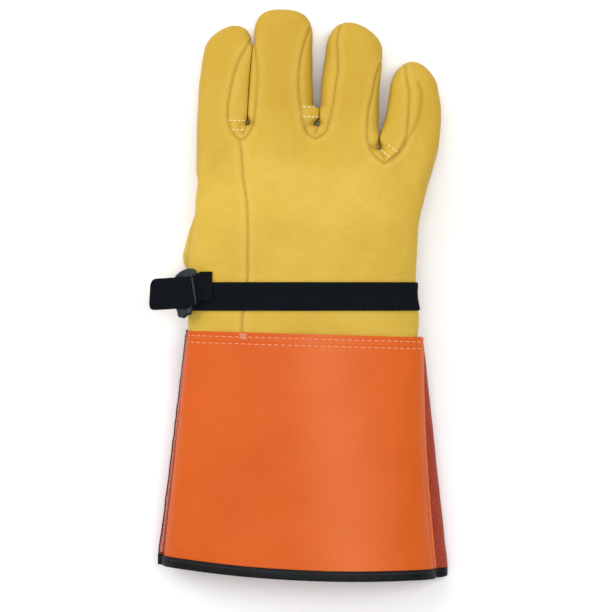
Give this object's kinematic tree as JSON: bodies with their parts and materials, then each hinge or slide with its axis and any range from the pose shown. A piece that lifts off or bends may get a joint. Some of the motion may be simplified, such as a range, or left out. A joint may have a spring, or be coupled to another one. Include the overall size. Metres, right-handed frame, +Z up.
{
  "type": "leather protector glove",
  "caption": "Leather over-glove for electrical insulating gloves: yellow hand with bending fingers and thumb, orange coated cuff, split leather underside and webbing wrist strap with buckle.",
  "frame": {"origin": "on the surface the glove lies on, under the centre of its outline", "axes": "+X towards the little finger, +Y towards the fingertips, +Z up out of the back of the hand"},
  "size_m": [0.1884, 0.3544, 0.0462],
  "materials": {
    "hand_leather": "smooth grain, soft sheen",
    "coated_fabric": "coated, slight gloss",
    "split_leather": "napped suede",
    "binding": "coated, slight gloss",
    "pale_thread": "twisted thread",
    "dark_thread": "twisted thread",
    "webbing": "ribbed weave",
    "buckle_plastic": "moulded, satin"
  },
  "bodies": {
    "glove": {"hand_back_panel": "hand_leather", "index_side_panel": "hand_leather", "hand_palm_panel": "hand_leather", "index_middle_fork_gusset": "hand_leather", "middle_ring_fork_gusset": "hand_leather", "ring_little_fork_gusset": "hand_leather", "index_knuckle_sleeve": "hand_leather", "middle_knuckle_sleeve": "hand_leather", "ring_knuckle_sleeve": "hand_leather", "little_knuckle_sleeve": "hand_leather", "thumb_collar": "hand_leather", "cuff_back_panel": "coated_fabric", "cuff_palm_panel": "split_leather", "hem_binding_back": "binding", "hem_binding_palm": "binding", "cuff_seam_thread_upper": "pale_thread", "cuff_seam_thread_lower": "pale_thread", "hem_thread": "dark_thread", "cuff_side_seam_thread": "pale_thread", "bar_tack": "pale_thread", "wrist_strap": "webbing", "strap_loop": "webbing", "adjusting_strap": "webbing"},
    "index_finger": {"index_back": "hand_leather", "index_palm": "hand_leather", "index_inner_fourchette": "hand_leather"},
    "middle_finger": {"middle_back": "hand_leather", "middle_palm": "hand_leather", "middle_index_side_fourchette": "hand_leather", "middle_ring_side_fourchette": "hand_leather"},
    "ring_finger": {"ring_back": "hand_leather", "ring_palm": "hand_leather", "ring_middle_side_fourchette": "hand_leather", "ring_little_side_fourchette": "hand_leather"},
    "little_finger": {"little_back": "hand_leather", "little_palm": "hand_leather", "little_inner_fourchette": "hand_leather"},
    "thumb": {"thumb_back": "hand_leather", "thumb_front": "hand_leather"},
    "buckle": {"buckle": "buckle_plastic"},
    "tail": {"strap_tail": "webbing"}
  },
  "joints": [
    {"name": "index_bend", "type": "hinge", "parent": "glove", "child": "index_finger", "pos_m": [-0.0471, 0.13, 0.01924], "axis": [-0.9976, -0.0698, 0], "range_deg": [0, 75], "stiffness_Nm_per_rad": 0.15, "deforming": ["index_knuckle_sleeve"]},
    {"name": "middle_bend", "type": "hinge", "parent": "glove", "child": "middle_finger", "pos_m": [-0.0106, 0.134, 0.01834], "axis": [-1, 0, 0], "range_deg": [0, 75], "stiffness_Nm_per_rad": 0.15, "deforming": ["middle_knuckle_sleeve"]},
    {"name": "ring_bend", "type": "hinge", "parent": "glove", "child": "ring_finger", "pos_m": [0.0317, 0.134, 0.01834], "axis": [-0.9976, 0.0698, 0], "range_deg": [0, 75], "stiffness_Nm_per_rad": 0.15, "deforming": ["ring_knuckle_sleeve"]},
    {"name": "little_bend", "type": "hinge", "parent": "glove", "child": "little_finger", "pos_m": [0.0705, 0.111, 0.0234], "axis": [-0.9986, 0.0523, 0], "range_deg": [0, 75], "stiffness_Nm_per_rad": 0.15, "deforming": ["little_knuckle_sleeve"]},
    {"name": "thumb_swing", "type": "hinge", "parent": "glove", "child": "thumb", "pos_m": [-0.052, 0.03, 0.0075], "axis": [0, 0, 1], "range_deg": [0, 55], "deforming": ["thumb_collar"]},
    {"name": "buckle_tilt", "type": "hinge", "parent": "glove", "child": "buckle", "pos_m": [-0.0654, 0.001, 0.0414], "axis": [0.1564, 0.9877, 0], "range_deg": [0, 60]},
    {"name": "tail_slide", "type": "slide", "parent": "buckle", "child": "tail", "axis": [-0.7991, 0.1266, -0.5878], "range_m": [-0.004, 0.012]}
  ]
}
